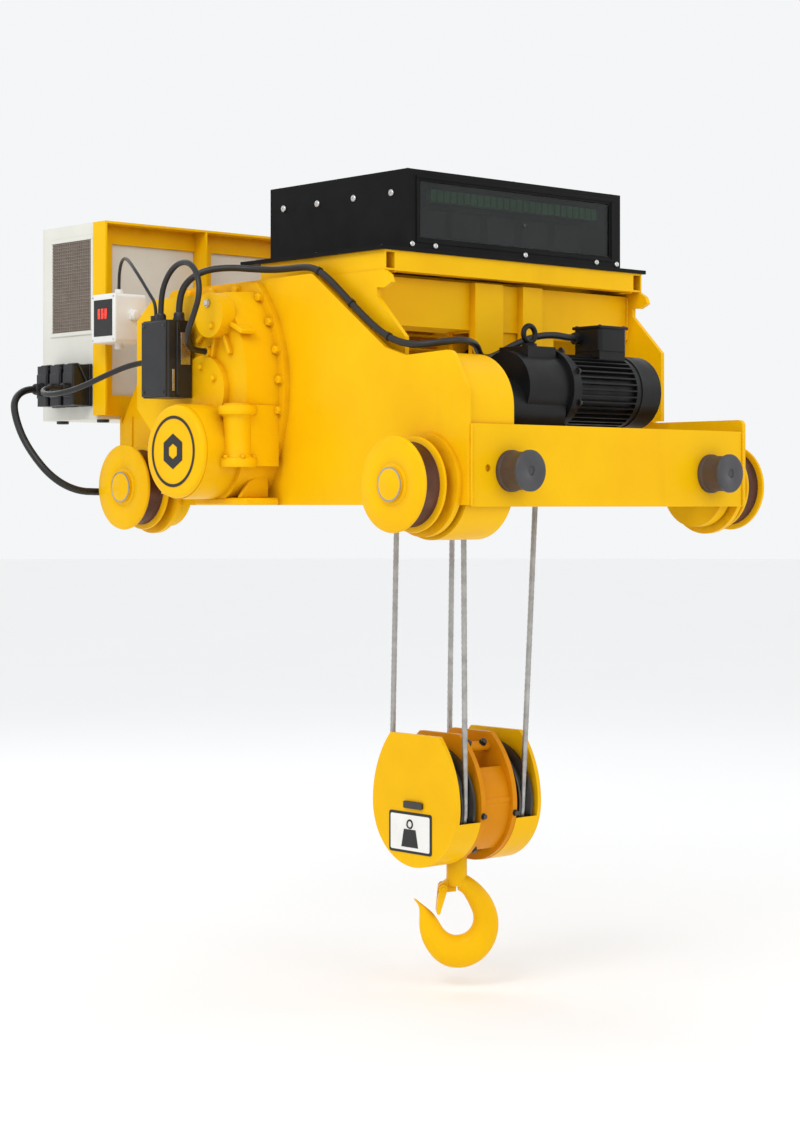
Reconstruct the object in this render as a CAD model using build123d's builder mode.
from build123d import *
import math
import os

# Electric wire rope hoist: a trolley for a double-girder crane, with the hook block on four falls.
# Millimetres. The origin is on the rail tops, at the centre of the four wheel contacts.
# +X is along the wheel axles, +Y is the way to the switch cabinet, +Z is up.

# ---- driving dimensions -------------------------------------------------------------------
wheel_y = 435.0
wheel_z = 80.0
wheel_x = 464.0
wheel_width = 60.0
tread_r = 80.0
flange_r = 92.0
axle_r = 25.0
running_gap = 0.05

plate_x = 404.0
plate_t = 10.0
plate_bottom = 41.0
front_y = -548.0
rear_y = 565.0
plate_top = 505.0

upper_plate_x = 377.0
tray_z = 504.0
tray_tube_w = 30.0
tray_tube_h = 40.0
tray_x = 374.0
tray_front = -282.0
tray_back = 108.0
box_x = 310.0
box_front = -278.0
box_back = 155.0
box_low = 552.0
box_high = 710.0
sheet_t = 3.0

drum_y = 118.0
drum_z = 150.0
rope_r = 6.0
drum_rope_r = 98.0
drum_half = 320.0
winding_pitch = 12.4
winding_turns = 20
motor_y = 250.0
motor_z = 390.0
gear_case_x = 498.0
gear_case_centre = (284.0, 281.0)
gear_case_r = 309.0

travel_motor_z = 272.0
travel_out_z = 228.0
travel_module = 4.0
travel_wheel_teeth = 48
travel_pinion_teeth = 26

block_y = -92.0
block_z = -588.0
sheave_x = 84.0
sheave_rope_r = 114.0
sheave_rim_r = 125.0
sheave_half_width = 20.0
pin_r = 22.0
cheek_x = 123.0
cheek_r = 131.0
crosshead_z = -676.0
shank_r = 22.0
hook_eye_r = 35.5
hook_z = -839.5

equalizer_x = 23.0
equalizer_y = -206.0
equalizer_z = 275.0
equalizer_rope_r = 113.0

os.makedirs("parts", exist_ok=True)


def save(piece, label):
    """Labels a finished piece and writes its STEP file."""
    piece.part.label = label
    export_step(piece.part, f"parts/{label}.step")


def across(x):
    """The plane with normal +X at this x; its own axes are the row's Y and Z."""
    return Plane.YZ.offset(x)


def facing_front(y):
    """The plane with normal -Y at this y; its own axes are the row's X and Z."""
    return Plane.XZ.offset(-y)


def tube_between(piece_radius, y, z, x_low, x_high, mode=Mode.ADD):
    """A round bar or hole along X, centred at (y, z)."""
    with Locations(Location(((x_low + x_high) / 2, y, z), (0, 90, 0))):
        Cylinder(piece_radius, x_high - x_low, mode=mode)


def box_between(x0, x1, y0, y1, z0, z1, mode=Mode.ADD):
    """A block given by its two corners."""
    with Locations(((x0 + x1) / 2, (y0 + y1) / 2, (z0 + z1) / 2)):
        Box(x1 - x0, y1 - y0, z1 - z0, mode=mode)


# ---- gears --------------------------------------------------------------------------------
tooth_half_root = 0.27
tooth_half_pitch = 0.20
tooth_half_tip = 0.105


def gear_outline(teeth, module, first_angle):
    """Adds a spur gear's outline about the sketch origin, with one tooth at first_angle degrees."""
    pitch_r = teeth * module / 2
    root_r = pitch_r - 1.25 * module
    tip_r = pitch_r + module
    step = 360 / teeth
    corners = []
    for tooth in range(teeth):
        middle = first_angle + tooth * step
        for radius, offset in (
            (root_r, -tooth_half_root),
            (pitch_r, -tooth_half_pitch),
            (tip_r, -tooth_half_tip),
            (tip_r, tooth_half_tip),
            (pitch_r, tooth_half_pitch),
            (root_r, tooth_half_root),
        ):
            angle = math.radians(middle + offset * step)
            corners.append((radius * math.cos(angle), radius * math.sin(angle)))
    Polygon(*corners, align=None)


def gear_at(teeth, module, first_angle, y, z, x_low, x_high):
    """A toothed disc whose axis is along X."""
    place = Plane(origin=(x_low, y, z), x_dir=(0, 1, 0), z_dir=(1, 0, 0))
    with BuildSketch(place) as toothed:
        gear_outline(teeth, module, first_angle)
    extrude(toothed.sketch, amount=x_high - x_low)


def direction(y0, z0, y1, z1):
    """The angle in degrees, in the Y-Z plane, from one axis to another."""
    return math.degrees(math.atan2(z1 - z0, y1 - y0))


def gap_angle(towards, teeth):
    """The first tooth angle that puts a gap, not a tooth, in this direction."""
    return towards + 180 / teeth


# ---- hoist gear train: motor -> first shaft -> second shaft -> drum ------------------------
module_1 = 3.0
module_2 = 4.0
module_3 = 5.0
motor_pinion_teeth = 14
first_wheel_teeth = 60
first_pinion_teeth = 13
second_wheel_teeth = 45
second_pinion_teeth = 14
drum_wheel_teeth = 36
distance_1 = module_1 * (motor_pinion_teeth + first_wheel_teeth) / 2
distance_2 = module_2 * (first_pinion_teeth + second_wheel_teeth) / 2
distance_3 = module_3 * (second_pinion_teeth + drum_wheel_teeth) / 2
second_lift_angle = math.radians(85)
second_y = drum_y + distance_3 * math.cos(second_lift_angle)
second_z = drum_z + distance_3 * math.sin(second_lift_angle)
reach = math.hypot(motor_y - second_y, motor_z - second_z)
along = (distance_2**2 - distance_1**2 + reach**2) / (2 * reach)
aside = math.sqrt(distance_2**2 - along**2)
unit_y = (motor_y - second_y) / reach
unit_z = (motor_z - second_z) / reach
first_y = second_y + along * unit_y + aside * unit_z
first_z = second_z + along * unit_z - aside * unit_y
idler_r = 12.0
stage_1 = (-430.0, -414.0)
stage_2 = (-453.0, -435.0)
stage_3 = (-486.0, -458.0)

# ---- side plates ---------------------------------------------------------------------------
axle_hole_r = 56.0
drum_hole_r = 45.0
motor_hole_r = 30.0
left_corners = [
    (front_y, plate_bottom),
    (front_y, 262),
    (-505, 335),
    (-375, 330),
    (-317, 348),
    (-95, 508),
    (380, plate_top),
    (rear_y, 220),
    (rear_y, plate_bottom),
]
with BuildPart() as left_plate:
    with BuildSketch(across(-plate_x)) as left_outline:
        with BuildLine():
            Polyline(*left_corners, close=True)
        make_face()
        fillet(left_outline.vertices().filter_by_position(Axis.Y, 255, 600), 22)
        with Locations((-wheel_y, wheel_z), (wheel_y, wheel_z)):
            Circle(axle_hole_r, mode=Mode.SUBTRACT)
        with Locations((drum_y, drum_z)):
            Circle(drum_hole_r, mode=Mode.SUBTRACT)
        with Locations((motor_y, motor_z)):
            Circle(motor_hole_r, mode=Mode.SUBTRACT)
        with Locations((first_y, first_z), (second_y, second_z)):
            Circle(idler_r + running_gap, mode=Mode.SUBTRACT)
    extrude(amount=plate_t)
save(left_plate, "left_side_plate")

right_corners = [
    (front_y, plate_bottom),
    (front_y, 220),
    (-300, 220),
    (-95, 495),
    (380, 495),
    (rear_y, 220),
    (rear_y, plate_bottom),
]
with BuildPart() as right_plate:
    with BuildSketch(across(plate_x - plate_t)) as right_outline:
        with BuildLine():
            Polyline(*right_corners, close=True)
        make_face()
        fillet(right_outline.vertices().filter_by_position(Axis.Y, 210, 600), 12)
        with Locations((-wheel_y, wheel_z), (wheel_y, wheel_z)):
            Circle(axle_hole_r, mode=Mode.SUBTRACT)
        with Locations((drum_y, drum_z)):
            Circle(drum_hole_r, mode=Mode.SUBTRACT)
    extrude(amount=plate_t)
save(right_plate, "right_side_plate")

inner_x = plate_x - plate_t

# ---- front beam: web, bottom flange and two ribs, with a hole for the tow rope ---------------
web_t = 6.0
buffer_x = 290.0
buffer_z = 106.0
buffer_bolt_r = 8.0
beam_flange_low = -262.0
beam_flange_high = 360.0
with BuildPart() as front_beam:
    box_between(-inner_x, inner_x, front_y, front_y + web_t, 38, 195)
    box_between(beam_flange_low, beam_flange_high, front_y + web_t, front_y + 60, 38, 46)
    for side in (-1, 1):
        rib_x = side * 235
        box_between(rib_x - 4, rib_x + 4, front_y + web_t, front_y + 50, 46, 180)
    with BuildSketch(facing_front(front_y)):
        with Locations((-350, 111)):
            Circle(7)
        with Locations((-buffer_x, buffer_z), (buffer_x, buffer_z)):
            Circle(buffer_bolt_r)
    extrude(amount=-web_t, mode=Mode.SUBTRACT)
save(front_beam, "front_beam")

# ---- rear beam: a rectangular tube between the side plates ------------------------------------
with BuildPart() as rear_beam:
    with BuildSketch(across(-inner_x)):
        with Locations((542, 160)):
            Rectangle(30, 80)
            Rectangle(20, 70, mode=Mode.SUBTRACT)
    extrude(amount=2 * inner_x)
save(rear_beam, "rear_beam")

# ---- buffers: a rubber block moulded on a steel plate with a stud ------------------------------
buffer_r = 40.0
buffer_length = 57.0
with BuildPart() as buffers:
    for side in (-1, 1):
        with BuildSketch(facing_front(front_y)):
            with Locations((side * buffer_x, buffer_z)):
                Circle(buffer_r)
        extrude(amount=buffer_length, taper=1.5)
        with BuildSketch(facing_front(front_y + web_t)):
            with Locations((side * buffer_x, buffer_z)):
                Circle(buffer_bolt_r - running_gap)
        extrude(amount=web_t)
    fillet(buffers.faces().group_by(Axis.Y)[0].edges(), 5)
save(buffers, "buffers")

# ---- upper plates with their lifting lugs and the spacers against the side plates ----------------
upper_corners = [
    (-345, 369),
    (-262, 452),
    (-262, 470),
    (-284, 468),
    (-305, 478),
    (-299, 493),
    (-281, tray_z),
    (120, tray_z),
    (120, 335),
    (20, 335),
    (-60, 222),
]
left_front_edge = [(-325, 222), (-325, 262), (-345, 290)]
right_front_edge = [(-345, 222)]
with BuildPart() as upper_plates:
    for side, front_edge in ((-1, left_front_edge), (1, right_front_edge)):
        low_x = min(side * upper_plate_x, side * (upper_plate_x - plate_t))
        spacer_low = min(side * upper_plate_x, side * inner_x)
        with BuildSketch(across(low_x)):
            with BuildLine():
                Polyline(*front_edge, *upper_corners, close=True)
            make_face()
        extrude(amount=plate_t)
        with BuildSketch(across(spacer_low)):
            with Locations((-30, 400), (60, 400)):
                Rectangle(60, 120)
        extrude(amount=inner_x - upper_plate_x)
save(upper_plates, "upper_plates")

# ---- upper cross beam and the hanger of the equalizer sheave --------------------------------------
beam_x = upper_plate_x - plate_t
beam_low = 400.0
beam_high = 496.0
with BuildPart() as upper_beam:
    with BuildSketch(across(-beam_x)):
        with Locations((-195, (beam_low + beam_high) / 2)):
            Rectangle(100, beam_high - beam_low)
            Rectangle(86, beam_high - beam_low - 14, mode=Mode.SUBTRACT)
    extrude(amount=2 * beam_x)
    for post_low, post_high in ((-108, -28), (30, 87)):
        with BuildSketch(facing_front(-245)):
            with BuildLine():
                Polyline(
                    (post_low, beam_high),
                    (post_high, beam_high),
                    (post_high, 372),
                    (post_high - 14, 352),
                    (post_low + 14, 352),
                    (post_low, 372),
                    close=True,
                )
            make_face()
        extrude(amount=17)
save(upper_beam, "upper_cross_beam")

hanger_pin_r = 20.0
with BuildPart() as hanger:
    for wall_y in (-230, -172):
        with BuildSketch(facing_front(wall_y)):
            with Locations((equalizer_x, equalizer_z)):
                Circle(38)
            with Locations((equalizer_x, beam_low - 25)):
                Rectangle(240, 50)
            make_hull()
            with Locations((equalizer_x, equalizer_z)):
                Circle(hanger_pin_r, mode=Mode.SUBTRACT)
        extrude(amount=10)
    with BuildSketch(facing_front(-160)):
        with Locations((equalizer_x, equalizer_z)):
            Circle(hanger_pin_r)
    extrude(amount=90)
    with BuildSketch(facing_front(-240)):
        with Locations((equalizer_x, equalizer_z)):
            Circle(27)
    extrude(amount=6)
save(hanger, "equalizer_hanger")


def sheave_outline(rope_line_r, bore_r, half_width, rim_r):
    """Adds half of a sheave's section: across its width, and out from its axis."""
    groove_r = rope_line_r - rope_r - 0.5
    Polygon(
        (-half_width, bore_r),
        (half_width, bore_r),
        (half_width, bore_r + 22),
        (8, bore_r + 24),
        (8, groove_r - 14),
        (half_width, groove_r - 8),
        (half_width, rim_r),
        (half_width - 5, rim_r),
        (rope_r + 1, groove_r + 1.5),
        (0, groove_r),
        (-rope_r - 1, groove_r + 1.5),
        (-half_width + 5, rim_r),
        (-half_width, rim_r),
        (-half_width, groove_r - 8),
        (-8, groove_r - 14),
        (-8, bore_r + 24),
        (-half_width, bore_r + 22),
        align=None,
    )


with BuildPart() as equalizer:
    turned = Plane(
        origin=(equalizer_x, equalizer_y, equalizer_z),
        x_dir=(0, 1, 0),
        z_dir=(-1, 0, 0),
    )
    with BuildSketch(turned):
        sheave_outline(equalizer_rope_r, hanger_pin_r + running_gap, 17, 124)
    revolve(axis=Axis((equalizer_x, equalizer_y, equalizer_z), (0, 1, 0)))
save(equalizer, "equalizer_sheave")

# ---- tray of square tube, and the base plate of the control box ------------------------------------
tube_wall = 4.0
with BuildPart() as tray_sides:
    for side in (-1, 1):
        middle_x = side * (tray_x - tray_tube_w / 2)
        with BuildSketch(facing_front(tray_back)):
            with Locations((middle_x, tray_z + tray_tube_h / 2)):
                Rectangle(tray_tube_w, tray_tube_h)
                Rectangle(
                    tray_tube_w - 2 * tube_wall,
                    tray_tube_h - 2 * tube_wall,
                    mode=Mode.SUBTRACT,
                )
        extrude(amount=tray_back - tray_front)
save(tray_sides, "tray_side_tubes")

cross_x = tray_x - tray_tube_w
with BuildPart() as tray_cross:
    for middle_y in (tray_front + tray_tube_w / 2, tray_back - tray_tube_w / 2):
        with BuildSketch(across(-cross_x)):
            with Locations((middle_y, tray_z + tray_tube_h / 2)):
                Rectangle(tray_tube_w, tray_tube_h)
                Rectangle(
                    tray_tube_w - 2 * tube_wall,
                    tray_tube_h - 2 * tube_wall,
                    mode=Mode.SUBTRACT,
                )
        extrude(amount=2 * cross_x)
save(tray_cross, "tray_cross_tubes")

base_x = 384.0
with BuildPart() as base_plate:
    box_between(-base_x, base_x, -286, 164, tray_z + tray_tube_h, box_low)
save(base_plate, "control_base_plate")

# ---- control box: folded body with a front window, lid, window pane ---------
window_x = 276.0
window_low = 575.0
window_high = 688.0
with BuildPart() as control_box:
    box_between(-box_x, box_x, box_front, box_back, box_low, box_high - sheet_t)
    box_between(
        -box_x + sheet_t,
        box_x - sheet_t,
        box_front + sheet_t,
        box_back - sheet_t,
        box_low + sheet_t,
        box_high,
        mode=Mode.SUBTRACT,
    )
    box_between(
        -window_x,
        window_x,
        box_front - 1,
        box_front + sheet_t + 1,
        window_low,
        window_high,
        mode=Mode.SUBTRACT,
    )
save(control_box, "control_box")

with BuildPart() as control_lid:
    box_between(-box_x, box_x, box_front, box_back, box_high - sheet_t, box_high)
save(control_lid, "control_box_lid")

with BuildPart() as control_window:
    box_between(
        -window_x - 8,
        window_x + 8,
        box_front + sheet_t,
        box_front + 2 * sheet_t,
        window_low - 8,
        window_high + 8,
    )
save(control_window, "control_window")

# ---- wheels ------------------------------------------------------------------------------------
rail_flange_w = 10.0


def wheel(x_middle, y, bore_r, outward):
    """A double-flanged rail wheel about an axis along X; outward is the side of its boss."""
    half = wheel_width / 2
    corners = [
        (-half, bore_r),
        (half, bore_r),
        (half, flange_r - 3),
        (half - 3, flange_r),
        (half - rail_flange_w + 3, flange_r),
        (half - rail_flange_w, tread_r),
        (-half + rail_flange_w, tread_r),
        (-half + rail_flange_w - 3, flange_r),
        (-half + 3, flange_r),
        (-half, flange_r - 3),
    ]
    turned = Plane(origin=(x_middle, y, wheel_z), x_dir=(1, 0, 0), z_dir=(0, -1, 0))
    with BuildSketch(turned) as section:
        Polygon(*corners, align=None)
    revolve(section.sketch, axis=Axis((x_middle, y, wheel_z), (1, 0, 0)))
    face_x = x_middle + outward * half
    dish_low = min(face_x, face_x - outward * 6)
    with BuildSketch(across(dish_low)) as dish:
        with Locations((y, wheel_z)):
            Circle(70)
            Circle(44, mode=Mode.SUBTRACT)
    extrude(dish.sketch, amount=6, mode=Mode.SUBTRACT)


with BuildPart() as drive_wheels:
    for side in (-1, 1):
        wheel(side * wheel_x, -wheel_y, axle_r, side)
save(drive_wheels, "front_wheels")
for side, label in ((-1, "rear_left_wheel"), (1, "rear_right_wheel")):
    with BuildPart() as idle_wheel:
        wheel(side * wheel_x, wheel_y, axle_r + running_gap, side)
    save(idle_wheel, label)

axle_end = wheel_x + wheel_width / 2
with BuildPart() as front_axle:
    tube_between(axle_r, -wheel_y, wheel_z, -axle_end, axle_end)
    for side in (-1, 1):
        end_x = side * axle_end
        tube_between(33, -wheel_y, wheel_z, min(end_x, end_x + side * 6), max(end_x, end_x + side * 6))
save(front_axle, "front_axle")

with BuildPart() as rear_axles:
    for side in (-1, 1):
        inside = side * 330
        outside = side * axle_end
        tube_between(axle_r, wheel_y, wheel_z, min(inside, outside), max(inside, outside))
        cap_x = side * (axle_end + 0.5)
        tube_between(33, wheel_y, wheel_z, min(cap_x, cap_x + side * 6), max(cap_x, cap_x + side * 6))
        tube_between(axle_r, wheel_y, wheel_z, min(outside, cap_x), max(outside, cap_x))
save(rear_axles, "rear_axles")

# ---- bearing housings: a spigot in the plate, a flange outside, and a cap inside -------------------
housing_r = 100.0
spigot_r = axle_hole_r - running_gap
with BuildPart() as housings:
    for side in (-1, 1):
        for axle_y in (-wheel_y, wheel_y):
            bore_r = axle_r + running_gap if axle_y < 0 else axle_r
            outer = side * (plate_x + 12)
            boss = side * (plate_x + 24)
            inner = side * (inner_x - (0 if side < 0 and axle_y < 0 else 26))
            tube_between(housing_r, axle_y, wheel_z, min(side * plate_x, outer), max(side * plate_x, outer))
            tube_between(60, axle_y, wheel_z, min(outer, boss), max(outer, boss))
            tube_between(spigot_r, axle_y, wheel_z, min(inner, side * plate_x), max(inner, side * plate_x))
            if not (side < 0 and axle_y < 0):
                cap_edge = side * inner_x
                tube_between(85, axle_y, wheel_z, min(inner, cap_edge), max(inner, cap_edge))
            tube_between(
                bore_r, axle_y, wheel_z, min(inner, boss) - 1, max(inner, boss) + 1, mode=Mode.SUBTRACT
            )
    tube_between(80, drum_y, drum_z, plate_x, plate_x + 12)
    tube_between(drum_hole_r - running_gap, drum_y, drum_z, inner_x - 20, plate_x + 30)
    tube_between(
        axle_r + running_gap, drum_y, drum_z, inner_x - 21, plate_x + 24, mode=Mode.SUBTRACT
    )
save(housings, "bearing_housings")

# ---- travel drive: oblong gear case, cover, axle gear, output shaft ------------------------------
oblong_r = 106.0
oblong_wall = 4.5
case_back = -inner_x + 0.5
case_mouth = -284.0
cover_face = -274.0


def oblong(radius):
    """Adds the outline round the axle and the output shaft."""
    with Locations((-wheel_y, wheel_z), (-wheel_y, travel_out_z)):
        Circle(radius)
    with Locations((-wheel_y, (wheel_z + travel_out_z) / 2)):
        Rectangle(2 * radius, travel_out_z - wheel_z)


travel_hub_r = 40.0
with BuildPart() as travel_case:
    with BuildSketch(across(case_back)):
        oblong(oblong_r)
    extrude(amount=case_mouth - case_back)
    with BuildSketch(across(case_back + oblong_wall)):
        oblong(oblong_r - oblong_wall)
    extrude(amount=case_mouth - case_back - oblong_wall, mode=Mode.SUBTRACT)
    tube_between(
        axle_r + 0.5, -wheel_y, wheel_z, case_back - 1, case_back + oblong_wall + 1, mode=Mode.SUBTRACT
    )
    with BuildSketch(across(case_mouth)):
        oblong(oblong_r)
        with Locations((-wheel_y, wheel_z)):
            Circle(axle_r + 0.5, mode=Mode.SUBTRACT)
        with Locations((-wheel_y, travel_out_z)):
            Circle(travel_hub_r, mode=Mode.SUBTRACT)
    extrude(amount=cover_face - case_mouth)
save(travel_case, "travel_gear_case")

upward = direction(-wheel_y, wheel_z, -wheel_y, travel_out_z)
with BuildPart() as travel_gear:
    gear_at(travel_wheel_teeth, travel_module, upward, -wheel_y, wheel_z, -350, -322)
    tube_between(40, -wheel_y, wheel_z, -366, -300)
    tube_between(axle_r, -wheel_y, wheel_z, -370, -290, mode=Mode.SUBTRACT)
save(travel_gear, "travel_gear")

reducer_module = 2.0
reducer_wheel_teeth = 32
reducer_pinion_teeth = 12
output_r = 15.0
with BuildPart() as output_shaft:
    gear_at(
        travel_pinion_teeth,
        travel_module,
        gap_angle(upward + 180, travel_pinion_teeth),
        -wheel_y,
        travel_out_z,
        -352,
        -320,
    )
    tube_between(output_r, -wheel_y, travel_out_z, -372, -100)
    gear_at(reducer_wheel_teeth, reducer_module, upward, -wheel_y, travel_out_z, -128, -110)
save(output_shaft, "travel_output_shaft")

# ---- travel reducer: black casting with ribs, and its eyebolt ---------------------------------------
eyebolt_x = -126.0
eyebolt_ring_z = 381.0
with BuildPart() as reducer:
    tube_between(92, -wheel_y, travel_out_z, cover_face, -258)
    tube_between(travel_hub_r - running_gap, -wheel_y, travel_out_z, case_mouth, cover_face)
    tube_between(64, -wheel_y, travel_out_z, -258, -88)
    tube_between(72, -wheel_y, travel_motor_z, -196, -82)
    tube_between(82, -wheel_y, travel_motor_z, -82, -66)
    box_between(-170, -92, -wheel_y - 40, -wheel_y + 40, 200, 354)
    tube_between(output_r + running_gap, -wheel_y, travel_out_z, case_mouth - 1, -135, mode=Mode.SUBTRACT)
    tube_between(36, -wheel_y, travel_out_z, -136, -98, mode=Mode.SUBTRACT)
    tube_between(17, -wheel_y, travel_motor_z, -136, -98, mode=Mode.SUBTRACT)
    tube_between(10 + running_gap, -wheel_y, travel_motor_z, -98, -65, mode=Mode.SUBTRACT)
    with Locations((eyebolt_x, -wheel_y, 358)):
        Cylinder(15, 8)
    with Locations(Location((eyebolt_x, -wheel_y, eyebolt_ring_z), (90, 0, 0))):
        Torus(16, 5.5)
save(reducer, "travel_reducer")

# ---- travel motor: finned housing, cowl, rotor, fan, terminal box ------------------------------------
motor_r = 64.0
fin_r = 73.0
fin_count = 36
motor_low = -66.0
motor_high = 126.0
with BuildPart() as motor_housing:
    tube_between(motor_r, -wheel_y, travel_motor_z, motor_low, motor_high)
    tube_between(75, -wheel_y, travel_motor_z, motor_low, motor_low + 14)
    tube_between(73, -wheel_y, travel_motor_z, motor_high - 14, motor_high)
    with BuildSketch(across(motor_low + 14)):
        with Locations((-wheel_y, travel_motor_z)):
            with PolarLocations((motor_r + fin_r) / 2 - 1, fin_count):
                Rectangle(fin_r - motor_r + 2, 3)
    extrude(amount=motor_high - motor_low - 28)
    box_between(41, 117, -wheel_y - 34, -wheel_y + 34, 300, 354)
    tube_between(50, -wheel_y, travel_motor_z, motor_low + 12, motor_high - 10, mode=Mode.SUBTRACT)
    tube_between(
        10 + running_gap, -wheel_y, travel_motor_z, motor_low - 1, motor_high + 1, mode=Mode.SUBTRACT
    )
save(motor_housing, "travel_motor_housing")

cowl_high = 182.0
with BuildPart() as cowl:
    tube_between(75, -wheel_y, travel_motor_z, motor_high, cowl_high)
    tube_between(72, -wheel_y, travel_motor_z, motor_high - 1, cowl_high - 3, mode=Mode.SUBTRACT)
    with BuildSketch(across(cowl_high - 4)):
        with Locations((-wheel_y, travel_motor_z)):
            for ring_r, slots in ((22, 8), (38, 14), (54, 20)):
                with PolarLocations(ring_r, slots):
                    Rectangle(11, 4.5)
    extrude(amount=5, mode=Mode.SUBTRACT)
save(cowl, "travel_fan_cowl")

with BuildPart() as travel_rotor:
    tube_between(10, -wheel_y, travel_motor_z, -112, 156)
    tube_between(46, -wheel_y, travel_motor_z, -30, 96)
    gear_at(
        reducer_pinion_teeth,
        reducer_module,
        gap_angle(upward + 180, reducer_pinion_teeth),
        -wheel_y,
        travel_motor_z,
        -130,
        -108,
    )
    tube_between(18, -wheel_y, travel_motor_z, 134, 164)
    tube_between(56, -wheel_y, travel_motor_z, 136, 139)
    with BuildSketch(across(138)):
        with Locations((-wheel_y, travel_motor_z)):
            with PolarLocations(36, 9):
                Rectangle(38, 3)
    extrude(amount=24)
save(travel_rotor, "travel_rotor")

with BuildPart() as travel_box:
    box_between(39, 119, -wheel_y - 37, -wheel_y + 37, 354, 403)
    fillet(travel_box.edges().filter_by(Axis.Z), 8)
    chamfer(travel_box.faces().sort_by(Axis.Z)[-1].edges(), 3)
    box_between(45, 113, -wheel_y - 31, -wheel_y + 31, 358, 397, mode=Mode.SUBTRACT)
save(travel_box, "travel_terminal_box")

# ---- hoist gear case: flange, body, hub, head, column, foot ---------------------------------------
case_rear = 400.0
hub_x = 578.0


def case_outline(inset):
    """Adds the gear case's outline, this far inside its outer edge."""
    centre_y, centre_z = gear_case_centre
    radius = gear_case_r - inset
    low_z = plate_bottom + inset
    high_z = 500 - inset
    low_y = centre_y - math.sqrt(radius**2 - (centre_z - low_z) ** 2)
    high_y = centre_y - math.sqrt(radius**2 - (high_z - centre_z) ** 2)
    with BuildSketch() as outline:
        with BuildLine():
            ThreePointArc((low_y, low_z), (centre_y - radius, centre_z), (high_y, high_z))
            Polyline(
                (high_y, high_z),
                (345 - inset, high_z),
                (case_rear - inset, 445 - inset / 2),
                (case_rear - inset, 235 + inset / 2),
                (312 - inset, 150 + inset / 2),
                (312 - inset, low_z),
                (low_y, low_z),
            )
        make_face()
    add(outline.sketch)


with BuildPart() as gear_case:
    with BuildSketch(across(-plate_x - 14)):
        case_outline(0)
    extrude(amount=14)
    with BuildSketch(across(-gear_case_x)):
        case_outline(24)
    extrude(amount=gear_case_x - plate_x - 14, taper=-4)
    with BuildSketch(across(-hub_x)):
        with Locations((drum_y, drum_z)):
            Circle(97)
    extrude(amount=hub_x - plate_x)
    tube_between(107, drum_y, drum_z, -gear_case_x, -plate_x)
    box_between(-gear_case_x, -plate_x - 14, -6, 30, 120, 244)
    with Locations((-gear_case_x - 8, 18, 182)):
        Cylinder(28, 128)
    with Locations((-gear_case_x - 8, 18, 127), (-gear_case_x - 8, 18, 233)):
        Cylinder(39, 17)
    tube_between(74, second_y, second_z, -gear_case_x - 14, -gear_case_x + 1)
    tube_between(46, 82, 428, -gear_case_x - 32, -gear_case_x + 1)
    tube_between(11, 112, 356, -gear_case_x - 18, -gear_case_x + 1)
    with BuildSketch(across(-gear_case_x + 10)):
        case_outline(38)
    extrude(amount=gear_case_x - plate_x - 10, mode=Mode.SUBTRACT)
    tube_between(97, drum_y, drum_z, -gear_case_x + 8, -plate_x, mode=Mode.SUBTRACT)
    tube_between(axle_r + running_gap, drum_y, drum_z, -hub_x + 6, -gear_case_x + 9, mode=Mode.SUBTRACT)
    for shaft_y, shaft_z in ((first_y, first_z), (second_y, second_z)):
        tube_between(
            idler_r + running_gap, shaft_y, shaft_z, -gear_case_x + 2, -gear_case_x + 11, mode=Mode.SUBTRACT
        )
save(gear_case, "hoist_gear_case")

with BuildPart() as end_cover:
    tube_between(95, drum_y, drum_z, -hub_x - 15, -hub_x)
    fillet(end_cover.faces().sort_by(Axis.X)[0].edges(), 4)
save(end_cover, "drum_end_cover")

# ---- hoist gears and their shafts -------------------------------------------------------------
to_first = direction(motor_y, motor_z, first_y, first_z)
to_second = direction(first_y, first_z, second_y, second_z)
to_drum = direction(second_y, second_z, drum_y, drum_z)
with BuildPart() as first_shaft:
    gear_at(
        first_wheel_teeth,
        module_1,
        gap_angle(to_first + 180, first_wheel_teeth),
        first_y,
        first_z,
        *stage_1,
    )
    gear_at(first_pinion_teeth, module_2, to_second, first_y, first_z, *stage_2)
    tube_between(idler_r, first_y, first_z, -gear_case_x + 3, -inner_x - 1)
save(first_shaft, "first_gear_shaft")

with BuildPart() as second_shaft:
    gear_at(
        second_wheel_teeth,
        module_2,
        gap_angle(to_second + 180, second_wheel_teeth),
        second_y,
        second_z,
        *stage_2,
    )
    gear_at(second_pinion_teeth, module_3, to_drum, second_y, second_z, *stage_3)
    tube_between(idler_r, second_y, second_z, -gear_case_x + 3, -inner_x - 1)
save(second_shaft, "second_gear_shaft")

with BuildPart() as drum_shaft:
    gear_at(
        drum_wheel_teeth,
        module_3,
        gap_angle(to_drum + 180, drum_wheel_teeth),
        drum_y,
        drum_z,
        *stage_3,
    )
    tube_between(axle_r, drum_y, drum_z, -hub_x + 8, plate_x + 22)
save(drum_shaft, "drum_shaft")

# ---- drum: a barrel with end discs, and its two rope windings -----------------------------------
barrel_r = drum_rope_r - rope_r - 0.3
drum_wall = 9.0
winding_gap = 50.0
with BuildPart() as drum:
    tube_between(barrel_r, drum_y, drum_z, -drum_half, drum_half)
    for side in (-1, 1):
        end_x = side * drum_half
        tube_between(102, drum_y, drum_z, min(end_x, end_x - side * 8), max(end_x, end_x - side * 8))
    tube_between(
        barrel_r - drum_wall, drum_y, drum_z, -drum_half + 12, drum_half - 12, mode=Mode.SUBTRACT
    )
    tube_between(axle_r, drum_y, drum_z, -drum_half - 1, drum_half + 1, mode=Mode.SUBTRACT)
save(drum, "drum")

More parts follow.
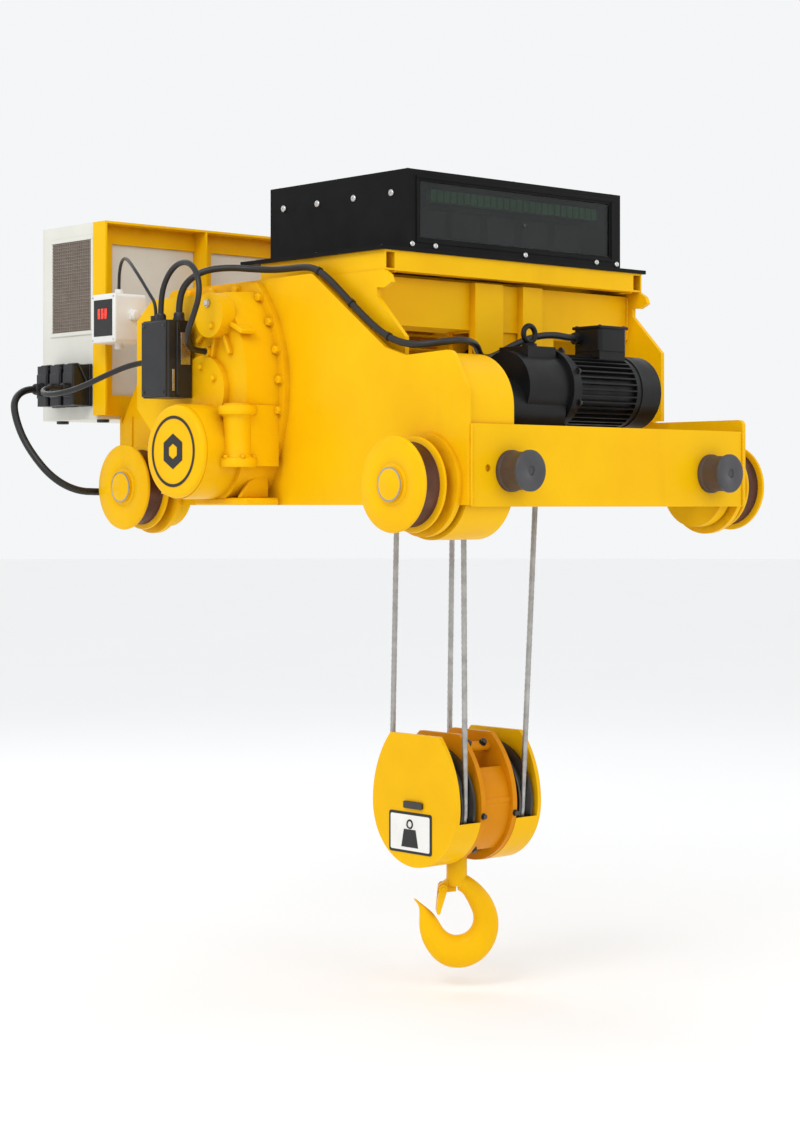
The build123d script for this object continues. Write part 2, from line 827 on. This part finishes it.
with BuildPart() as windings:
    for side in (-1, 1):
        start = side * winding_gap
        turned = Plane(origin=(0, drum_y, drum_z), x_dir=(1, 0, 0), z_dir=(0, -1, 0))
        with BuildSketch(turned):
            with BuildLine():
                for turn in range(winding_turns):
                    low = start + side * turn * winding_pitch
                    high = low + side * winding_pitch
                    ThreePointArc(
                        (low, drum_rope_r + 1),
                        ((low + high) / 2, drum_rope_r + rope_r),
                        (high, drum_rope_r + 1),
                    )
                Polyline(
                    (high, drum_rope_r + 1),
                    (high, barrel_r),
                    (start, barrel_r),
                    (start, drum_rope_r + 1),
                )
            make_face()
        revolve(axis=Axis((0, drum_y, drum_z), (1, 0, 0)))
save(windings, "rope_windings")

# ---- hoist motor: housing with fins, and the rotor with its pinion -------------------------------
hoist_motor_r = 92.0
hoist_fin_r = 104.0
hoist_motor_low = -inner_x
hoist_motor_high = 250.0
with BuildPart() as hoist_motor:
    tube_between(hoist_motor_r, motor_y, motor_z, hoist_motor_low, hoist_motor_high)
    tube_between(104, motor_y, motor_z, hoist_motor_low, hoist_motor_low + 16)
    with BuildSketch(across(hoist_motor_low + 16)):
        with Locations((motor_y, motor_z)):
            with PolarLocations((hoist_motor_r + hoist_fin_r) / 2 - 1, 40):
                Rectangle(hoist_fin_r - hoist_motor_r + 2, 4)
    extrude(amount=hoist_motor_high - hoist_motor_low - 90)
    tube_between(
        78, motor_y, motor_z, hoist_motor_low + 12, hoist_motor_high - 12, mode=Mode.SUBTRACT
    )
    tube_between(
        15 + running_gap, motor_y, motor_z, hoist_motor_low - 1, hoist_motor_high - 11, mode=Mode.SUBTRACT
    )
save(hoist_motor, "hoist_motor_housing")

with BuildPart() as hoist_rotor:
    tube_between(15, motor_y, motor_z, stage_1[0] + 1, hoist_motor_high - 14)
    tube_between(45, motor_y, motor_z, hoist_motor_low + 60, hoist_motor_high - 140)
    gear_at(motor_pinion_teeth, module_1, to_first, motor_y, motor_z, *stage_1)
save(hoist_rotor, "hoist_rotor")

# ---- rope: falls, the turn over the equalizer, the turns under the block's sheaves -----------------
equalizer_turn_z = equalizer_z + 1.0
fall_low_z = block_z + 1.5
rear_drum_x = (-68.0, 95.0)
fall_tops = [
    (equalizer_x - equalizer_rope_r, equalizer_y, equalizer_z - 1),
    (equalizer_x + equalizer_rope_r, equalizer_y, equalizer_z - 1),
    (rear_drum_x[0], drum_y - drum_rope_r, drum_z - 56),
    (rear_drum_x[1], drum_y - drum_rope_r, drum_z - 56),
]
fall_feet = [
    (-sheave_x, block_y - sheave_rope_r, fall_low_z),
    (sheave_x, block_y - sheave_rope_r, fall_low_z),
    (-sheave_x, block_y + sheave_rope_r, fall_low_z),
    (sheave_x, block_y + sheave_rope_r, fall_low_z),
]
with BuildPart() as falls:
    for top, foot in zip(fall_tops, fall_feet):
        with BuildLine() as fall:
            Line(foot, top)
        with BuildSketch(Plane(origin=foot, z_dir=fall.line % 0)):
            Circle(rope_r)
        sweep(path=fall.line)
    with BuildLine() as over_equalizer:
        ThreePointArc(
            (equalizer_x - equalizer_rope_r, equalizer_y, equalizer_turn_z),
            (equalizer_x, equalizer_y, equalizer_turn_z + equalizer_rope_r),
            (equalizer_x + equalizer_rope_r, equalizer_y, equalizer_turn_z),
        )
    with BuildSketch(Plane(over_equalizer.line @ 0, z_dir=over_equalizer.line % 0)):
        Circle(rope_r)
    sweep(path=over_equalizer.line)
save(falls, "rope_falls")

with BuildPart() as block_ropes:
    for side in (-1, 1):
        with BuildLine() as under_sheave:
            ThreePointArc(
                (side * sheave_x, block_y - sheave_rope_r, block_z),
                (side * sheave_x, block_y, block_z - sheave_rope_r),
                (side * sheave_x, block_y + sheave_rope_r, block_z),
            )
        with BuildSketch(Plane(under_sheave.line @ 0, z_dir=under_sheave.line % 0)):
            Circle(rope_r)
        sweep(path=under_sheave.line)
save(block_ropes, "block_ropes")

# ---- hook block --------------------------------------------------------------------------------------
for side, label in ((-1, "left_sheave"), (1, "right_sheave")):
    with BuildPart() as block_sheave:
        turned = Plane(
            origin=(side * sheave_x, block_y, block_z),
            x_dir=(1, 0, 0),
            z_dir=(0, -1, 0),
        )
        with BuildSketch(turned):
            sheave_outline(sheave_rope_r, pin_r + running_gap, sheave_half_width, sheave_rim_r)
        revolve(axis=Axis((side * sheave_x, block_y, block_z), (1, 0, 0)))
    save(block_sheave, label)

cheek_t = 10.0
frame_plate_x = 40.0
frame_plate_t = 12.0
cheek_top = 148.0
cover_gap = 3.0
lip_z = -30.0
with BuildPart() as block_pin:
    tube_between(pin_r, block_y, block_z, -cheek_x, cheek_x)
    for side in (-1, 1):
        keeper_low = min(side * cheek_x, side * (cheek_x + 5))
        box_between(keeper_low, keeper_low + 5, block_y - 28, block_y + 28, block_z - 7, block_z + 7)
save(block_pin, "block_pin")


def cheek_outline(radius, half_top):
    """Adds a plate outline: a round bottom about the sheave axis, arched sides and a flat top."""
    side_r = ((radius - half_top) ** 2 + cheek_top**2) / (2 * (radius - half_top))
    half_up = cheek_top / 2
    bulge = radius - side_r + math.sqrt(side_r**2 - half_up**2)
    top_z = block_z + cheek_top
    with BuildSketch() as outline:
        with BuildLine():
            ThreePointArc(
                (block_y - half_top, top_z),
                (block_y - bulge, block_z + half_up),
                (block_y - radius, block_z),
            )
            ThreePointArc(
                (block_y - radius, block_z),
                (block_y, block_z - radius),
                (block_y + radius, block_z),
            )
            ThreePointArc(
                (block_y + radius, block_z),
                (block_y + bulge, block_z + half_up),
                (block_y + half_top, top_z),
            )
            Line((block_y + half_top, top_z), (block_y - half_top, top_z))
        make_face()
    add(outline.sketch)


rim_low = cheek_x - cheek_t
with BuildPart() as cheeks:
    for side in (-1, 1):
        plate_low = min(side * cheek_x, side * rim_low)
        with BuildSketch(across(plate_low)):
            cheek_outline(cheek_r, 75)
            with Locations((block_y, block_z)):
                Circle(pin_r + running_gap, mode=Mode.SUBTRACT)
        extrude(amount=cheek_t)
        band_low = min(side * (frame_plate_x + frame_plate_t), side * rim_low)
        band_w = rim_low - frame_plate_x - frame_plate_t
        with BuildSketch(across(band_low)):
            with Locations((block_y, block_z)):
                Circle(cheek_r)
                Circle(sheave_rim_r + cover_gap, mode=Mode.SUBTRACT)
            with Locations((block_y, block_z + 200 + lip_z)):
                Rectangle(400, 400, mode=Mode.SUBTRACT)
        extrude(amount=band_w)
save(cheeks, "block_cheeks")

trunnion_r = 17.5
frame_cover_r = 121.0
frame_cover_low = 96.0
frame_cover_high = 78.0
with BuildPart() as block_frame:
    for side in (-1, 1):
        low_x = min(side * frame_plate_x, side * (frame_plate_x + frame_plate_t))
        with BuildSketch(across(low_x)):
            cheek_outline(cheek_r - 1, 60)
            with Locations((block_y, block_z)):
                Circle(pin_r + running_gap, mode=Mode.SUBTRACT)
            with Locations((block_y, crosshead_z)):
                Circle(trunnion_r + running_gap, mode=Mode.SUBTRACT)
        extrude(amount=frame_plate_t)
    for spacer_y, spacer_z in ((-50, 118), (50, 118), (-112, 10), (112, 10)):
        tube_between(
            11, block_y + spacer_y, block_z + spacer_z, -frame_plate_x, frame_plate_x
        )
    with BuildSketch(across(-frame_plate_x)):
        with Locations((block_y, block_z)):
            Circle(frame_cover_r)
            Circle(frame_cover_r - 5, mode=Mode.SUBTRACT)
        with Locations((block_y, block_z - 200 - frame_cover_low)):
            Rectangle(400, 400, mode=Mode.SUBTRACT)
        with Locations((block_y, block_z + 200 + frame_cover_high)):
            Rectangle(400, 400, mode=Mode.SUBTRACT)
    extrude(amount=2 * frame_plate_x)
save(block_frame, "block_frame")

cross_half_x = 38.0
cross_half_y = 32.0
cross_half_z = 22.0
with BuildPart() as crosshead:
    box_between(
        -cross_half_x,
        cross_half_x,
        block_y - cross_half_y,
        block_y + cross_half_y,
        crosshead_z - cross_half_z,
        crosshead_z + cross_half_z,
    )
    fillet(crosshead.edges().filter_by(Axis.X), 8)
    tube_between(trunnion_r, block_y, crosshead_z, -50, 50)
    with Locations((0, block_y, crosshead_z)):
        Cylinder(shank_r + running_gap, 60, mode=Mode.SUBTRACT)
save(crosshead, "crosshead")

nut_low = crosshead_z + cross_half_z + 0.3
with BuildPart() as hook_nut:
    with BuildSketch(Plane.XY.offset(nut_low)):
        with Locations((0, block_y)):
            Circle(31)
            Circle(shank_r, mode=Mode.SUBTRACT)
    extrude(amount=12)
    with BuildSketch(Plane.XY.offset(nut_low + 12.2)):
        with Locations((0, block_y)):
            RegularPolygon(32, 6)
            Circle(shank_r, mode=Mode.SUBTRACT)
    extrude(amount=18)
save(hook_nut, "hook_nut")

hook_turn = -40.0


def save_swivelled(piece, label):
    """Turns a piece, drawn with the hook's mouth towards -X, to where the hook rests."""
    turned_piece = piece.part.rotate(Axis((0, block_y, 0), (0, 0, 1)), hook_turn)
    turned_piece.label = label
    export_step(turned_piece, f"parts/{label}.step")



# The hook follows a ring of sections about the centre of its eye, from the neck round to the tip:
# the angle from +X, the inner radius, the section's height and its thickness.
hook_sections = [
    (88, 60, 42, 42),
    (62, 45, 44, 44),
    (35, 37, 48, 46),
    (5, hook_eye_r, 52, 46),
    (-30, hook_eye_r, 60, 46),
    (-62, hook_eye_r, 68, 46),
    (-90, hook_eye_r, 70, 46),
    (-120, hook_eye_r, 62, 43),
    (-150, 36, 50, 37),
    (-178, 41, 39, 30),
    (-193, 53, 29, 23),
    (-201, 72, 19, 16),
    (-205, 92, 9, 9),
]
latch_pivot = (-30.0, hook_z + 66.0)
latch_tip = (-40.0, hook_z + 16.0)
latch_pin_r = 4.0
latch_ear_half = 12.0
latch_pin_half = 29.0
with BuildPart() as hook:
    for angle, inner_r, height, thickness in hook_sections:
        turn = math.radians(angle)
        out = Vector(math.cos(turn), 0, math.sin(turn))
        middle = Vector(0, block_y, hook_z) + out * (inner_r + height / 2)
        section_plane = Plane(
            origin=middle,
            x_dir=out,
            z_dir=Vector(math.sin(turn), 0, -math.cos(turn)),
        )
        with BuildSketch(section_plane):
            Ellipse(height / 2, thickness / 2)
    loft()
    with Locations((0, block_y, (nut_low + 30.4 + hook_z + 78) / 2)):
        Cylinder(shank_r, nut_low + 30.4 - hook_z - 78)
    with Locations((0, block_y, hook_z + 84)):
        Cone(23, shank_r, 26)
    with BuildSketch(facing_front(block_y + latch_ear_half)):
        with Locations(latch_pivot):
            Circle(9)
        with Locations((-8, hook_z + 74)):
            Rectangle(12, 30)
        make_hull()
    extrude(amount=2 * latch_ear_half)
    with BuildSketch(facing_front(block_y + latch_pin_half)):
        with Locations(latch_pivot):
            Circle(latch_pin_r)
    extrude(amount=2 * latch_pin_half)
save_swivelled(hook, "hook")

# ---- hook latch: closes the mouth from inside, on a pin through an ear of the hook --------------------
latch_half_w = 27.0
latch_t = 3.0
with BuildPart() as latch:
    for face_y in (block_y + latch_half_w, block_y - latch_half_w + latch_t):
        with BuildSketch(facing_front(face_y)):
            with Locations(latch_pivot):
                Circle(9)
            with Locations(latch_tip):
                Circle(4)
            make_hull()
            with Locations(latch_pivot):
                Circle(latch_pin_r + running_gap, mode=Mode.SUBTRACT)
        extrude(amount=latch_t)
    with BuildSketch(facing_front(block_y + latch_half_w)):
        with Locations(latch_tip):
            Circle(4)
    extrude(amount=2 * latch_half_w)
    with BuildSketch(facing_front(block_y + latch_half_w)):
        with Locations((latch_pivot[0] - 7.5, latch_pivot[1] - 16), (latch_tip[0] - 2.4, latch_tip[1])):
            Circle(1.6)
        make_hull()
    extrude(amount=2 * latch_half_w)
save_swivelled(latch, "hook_latch")

# ---- rear panel frame: angle posts and rails, and a plate between the side plates ---------------------
panel_front = rear_y
panel_back = 572.0
panel_post_w = 46.0
panel_left = -476.0
panel_right = 400.0
panel_rail_z = 239.0
panel_high = 665.0
rail_h = 45.0
lip_depth = 40.0
lip_t = 5.0
post_xs = (-476.0, -201.0, 74.0, 354.0)
with BuildPart() as panel_frame:
    box_between(-plate_x, plate_x, panel_front, panel_back, 120, panel_rail_z)
    for post_x in post_xs:
        post_end = post_x + panel_post_w
        box_between(post_x, post_end, panel_front, panel_back, panel_rail_z, panel_high)
        box_between(
            post_x, post_x + lip_t, panel_front - lip_depth, panel_front, panel_rail_z, panel_high
        )
    for rail_z in (panel_rail_z, panel_high - rail_h):
        box_between(panel_left, panel_right, panel_front, panel_back, rail_z, rail_z + rail_h)
    box_between(
        panel_left,
        panel_right,
        panel_front - lip_depth,
        panel_front,
        panel_high - lip_t,
        panel_high,
    )
save(panel_frame, "panel_frame")

# ---- switch cabinet, its door, and the plug connectors on its side -----------------------------------
cabinet_left = -464.0
cabinet_right = 136.0
cabinet_front = 572.5
cabinet_back = 785.0
cabinet_low = 232.0
cabinet_high = 668.0
with BuildPart() as cabinet:
    box_between(
        cabinet_left, cabinet_right, cabinet_front, cabinet_back, cabinet_low, cabinet_high
    )
    box_between(
        cabinet_left + sheet_t,
        cabinet_right - sheet_t,
        cabinet_front + sheet_t,
        cabinet_back + 1,
        cabinet_low + sheet_t,
        cabinet_high - sheet_t,
        mode=Mode.SUBTRACT,
    )
    for knuckle_z in (320, 580):
        with Locations((cabinet_right + 7, cabinet_back + 4, knuckle_z)):
            Cylinder(5, 30)
        box_between(
            cabinet_right,
            cabinet_right + 4,
            cabinet_back - 14,
            cabinet_back + 4,
            knuckle_z - 15,
            knuckle_z + 15,
        )
save(cabinet, "cabinet")

door_t = 4.0
with BuildPart() as door:
    box_between(
        cabinet_left,
        cabinet_right - 4,
        cabinet_back + 0.5,
        cabinet_back + 0.5 + door_t,
        cabinet_low,
        cabinet_high,
    )
    for knuckle_z in (352, 612):
        with Locations((cabinet_right + 7, cabinet_back + 4, knuckle_z)):
            Cylinder(5, 30)
        box_between(
            cabinet_right - 20,
            cabinet_right + 7,
            cabinet_back + 5,
            cabinet_back + 9,
            knuckle_z - 15,
            knuckle_z + 15,
        )
    with Locations((cabinet_left + 40, cabinet_back + 9, 450)):
        Box(16, 10, 60)
save(door, "cabinet_door")

plug_ys = (612.0, 664.0, 716.0)
plug_low = 262.0
plug_high = 352.0
with BuildPart() as plugs:
    for plug_y in plug_ys:
        box_between(
            cabinet_left - 52, cabinet_left, plug_y - 20, plug_y + 20, plug_low, plug_high
        )
    fillet(plugs.edges().filter_by(Axis.Z), 5)
    for plug_y in plug_ys:
        tube_between(11, plug_y, 300, cabinet_left - 66, cabinet_left - 52)
save(plugs, "plug_connectors")

# ---- terminal box on the gear case, and the load display box on the left post ---------------------
box_gland_r = 11.0
terminal_left = -578.0
terminal_right = -513.0
terminal_front = 158.0
terminal_back = 246.0
terminal_low = 262.0
terminal_high = 421.0
with BuildPart() as terminal_box:
    box_between(
        terminal_left,
        terminal_right,
        terminal_front,
        terminal_back,
        terminal_low,
        terminal_high,
    )
    fillet(terminal_box.edges().filter_by(Axis.Z), 6)
    box_between(
        terminal_left + 4,
        terminal_right - 4,
        terminal_front + 4,
        terminal_back - 4,
        terminal_low + 4,
        terminal_high - 4,
        mode=Mode.SUBTRACT,
    )
    for gland_x, gland_y in ((-532, 180), (-560, 205), (-556, 228)):
        with Locations((gland_x, gland_y, terminal_high + 6)):
            Cylinder(box_gland_r, 12)
    with Locations(Location((-545, terminal_back + 6, 340), (90, 0, 0))):
        Cylinder(box_gland_r, 12)
save(terminal_box, "hoist_terminal_box")

display_left = -514.0
display_right = -436.0
display_front = 430.0
display_back = 520.0
display_low = 392.0
display_high = 498.0
with BuildPart() as display_box:
    box_between(
        display_left, display_right, display_front, display_back, display_low, display_high
    )
    fillet(display_box.edges().filter_by(Axis.X), 8)
    box_between(
        display_left + 4,
        display_right - 4,
        display_front + 4,
        display_back - 4,
        display_low + 4,
        display_high - 4,
        mode=Mode.SUBTRACT,
    )
    box_between(display_right - 30, display_right - 26, display_back, panel_front, 400, 490)
    with Locations((-475, 475, display_high + 6), (-475, 475, display_low - 6)):
        Cylinder(9, 12)
save(display_box, "display_box")


# ---- cables: straight runs joined by tangent arcs ------------------------------------------------
def arc_radii(points):
    """One radius for each inner corner: as large as its share of the two runs allows."""
    radii = []
    last = len(points) - 2
    for index, (before, corner, after) in enumerate(zip(points, points[1:], points[2:]), start=1):
        run_in = Vector(*corner) - Vector(*before)
        run_out = Vector(*after) - Vector(*corner)
        half_turn = math.radians(run_in.get_angle(run_out) / 2)
        room_in = run_in.length * (0.92 if index == 1 else 0.46)
        room_out = run_out.length * (0.92 if index == last else 0.46)
        radii.append(min(room_in, room_out) / math.tan(half_turn))
    return radii


cables = {
    "supply_cable": (
        8.0,
        [
            (-530, 716, 300),
            (-554, 716, 300),
            (-591, 703, 283),
            (-613, 681, 253),
            (-620, 633, 186),
            (-599, 586, 122),
            (-570, 561, 89),
            (-530, 550, 72),
            (-486, 548, 70),
            (-404, 548, 70),
        ],
    ),
    "motor_cable": (
        7.0,
        [
            (-532, 180, 433),
            (-532, 180, 466),
            (-522, 170, 502),
            (-494, 146, 526),
            (-456, 110, 532),
            (-424, 68, 527),
            (-406, 18, 523),
            (-399, -38, 524),
            (-398, -88, 522),
            (-398, -130, 502),
            (-398, -180, 464),
            (-399, -240, 418),
            (-399, -296, 380),
            (-398, -344, 358),
            (-393, -392, 349),
            (-369, -433, 353),
            (-326, -452, 360),
            (-278, -440, 355),
            (-236, -406, 339),
            (-190, -370, 330),
            (-140, -356, 342),
            (-96, -360, 364),
            (-56, -377, 382),
            (-18, -398, 387),
            (12, -412, 381),
            (39, -412, 381),
        ],
    ),
    "brake_cable": (
        6.0,
        [
            (-560, 205, 433),
            (-560, 205, 468),
            (-560, 190, 504),
            (-562, 158, 530),
            (-566, 118, 538),
            (-571, 80, 526),
            (-576, 54, 496),
            (-580, 48, 460),
            (-586, 58, 424),
            (-586, 78, 392),
            (-572, 98, 368),
            (-544, 112, 356),
            (-516, 112, 356),
        ],
    ),
    "display_cable": (
        3.5,
        [
            (-475, 475, 510),
            (-475, 475, 534),
            (-481, 463, 556),
            (-494, 436, 570),
            (-511, 400, 570),
            (-527, 362, 558),
            (-541, 322, 536),
            (-551, 282, 508),
            (-556, 250, 480),
            (-556, 228, 458),
            (-556, 228, 433),
        ],
    ),
    "link_cable": (
        6.0,
        [
            (-530, 612, 300),
            (-556, 612, 300),
            (-584, 602, 294),
            (-604, 578, 286),
            (-614, 546, 280),
            (-614, 506, 280),
            (-606, 460, 286),
            (-594, 412, 300),
            (-578, 366, 318),
            (-560, 326, 333),
            (-545, 290, 340),
            (-545, 258, 340),
        ],
    ),
}
for label, (cable_r, points) in cables.items():
    radii = arc_radii(points)
    with BuildPart() as cable:
        with BuildLine() as route:
            FilletPolyline(*points, radius=radii)
        with BuildSketch(Plane(route.line @ 0, z_dir=route.line % 0)):
            Circle(cable_r)
        sweep(path=route.line)
    length = sum(edge.length for edge in route.line.edges())
    expected = math.pi * cable_r**2 * length
    print(
        label,
        "length",
        round(length),
        "volume share",
        round(cable.part.volume / expected, 4),
        "radii in diameters",
        [round(radius / cable_r / 2, 1) for radius in radii],
    )
    save(cable, label)
